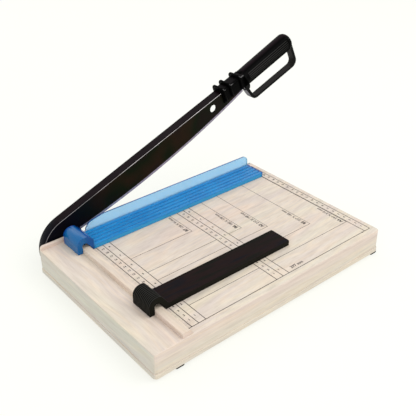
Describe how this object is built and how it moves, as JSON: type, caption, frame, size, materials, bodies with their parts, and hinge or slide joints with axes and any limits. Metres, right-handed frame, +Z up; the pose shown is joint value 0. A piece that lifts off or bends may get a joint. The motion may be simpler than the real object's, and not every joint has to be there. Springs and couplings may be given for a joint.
{
  "type": "guillotine paper cutter",
  "caption": "Desktop guillotine paper cutter: wood-look base with rulers, hinged blade arm with guarded handle, tilting press bar and sliding paper guide.",
  "frame": {"origin": "middle of the front left foot's underside, so the table top is Z = 0", "axes": "+X along the cutting edge from the hinge end to the handle end, +Y from the front edge to the cutting edge, +Z up"},
  "size_m": [0.4708, 0.2812, 0.2301],
  "materials": {
    "base_shell": "pale wood-grain print, satin",
    "bottom_plate": "pale wood-grain print, satin",
    "case_screws": "zinc plated",
    "foot_front_left": "black rubber",
    "foot_front_right": "black rubber",
    "foot_rear_left": "black rubber",
    "foot_rear_right": "black rubber",
    "side_fence": "pale wood-grain print, satin",
    "fence_screws": "zinc plated",
    "hinge_end_rim": "pale wood-grain print, satin",
    "bed_knife": "ground steel",
    "bed_knife_screws": "plated",
    "bed_knife_nuts": "zinc plated",
    "pivot_bracket": "zinc plated sheet",
    "pivot_bolt": "zinc plated",
    "pivot_disc_spring": "spring steel",
    "pivot_washer": "zinc plated",
    "pivot_nut": "zinc plated",
    "pivot_bush": "turned brass",
    "blade_arm": "gloss black paint, ground cutting edge",
    "handle_grip": "gloss black",
    "handle_screws": "blackened",
    "hand_guard": "gloss black",
    "press_bar": "blue, slightly see-through",
    "guard_fin": "clear light blue",
    "paper_guide": "satin black",
    "guide_glide_pad": "natural nylon"
  },
  "bodies": {
    "base": {"base_shell": "base_shell", "bottom_plate": "bottom_plate", "case_screws": "case_screws", "foot_front_left": "foot_front_left", "foot_front_right": "foot_front_right", "foot_rear_left": "foot_rear_left", "foot_rear_right": "foot_rear_right", "side_fence": "side_fence", "fence_screws": "fence_screws", "hinge_end_rim": "hinge_end_rim", "bed_knife": "bed_knife", "bed_knife_screws": "bed_knife_screws", "bed_knife_nuts": "bed_knife_nuts", "pivot_bracket": "pivot_bracket", "pivot_bolt": "pivot_bolt", "pivot_disc_spring": "pivot_disc_spring", "pivot_washer": "pivot_washer", "pivot_nut": "pivot_nut"},
    "arm": {"blade_arm": "blade_arm", "pivot_bush": "pivot_bush", "handle_grip": "handle_grip", "handle_screws": "handle_screws", "hand_guard": "hand_guard"},
    "press_bar_body": {"press_bar": "press_bar", "guard_fin": "guard_fin"},
    "guide_body": {"paper_guide": "paper_guide", "guide_glide_pad": "guide_glide_pad"}
  },
  "joints": [
    {"name": "arm_hinge", "type": "hinge", "parent": "base", "child": "arm", "pos_m": [0.0175, 0.2521, 0.0221], "axis": [0, -1, 0], "range_deg": [-23, 18]},
    {"name": "press_bar_tilt", "type": "hinge", "parent": "base", "child": "press_bar_body", "pos_m": [-0.0013, 0.2217, 0.0386], "axis": [0, -1, 0], "range_deg": [0, 8]},
    {"name": "guide_slide", "type": "slide", "parent": "base", "child": "guide_body", "axis": [0, 1, 0], "range_m": [-0.05, 0.12]}
  ]
}
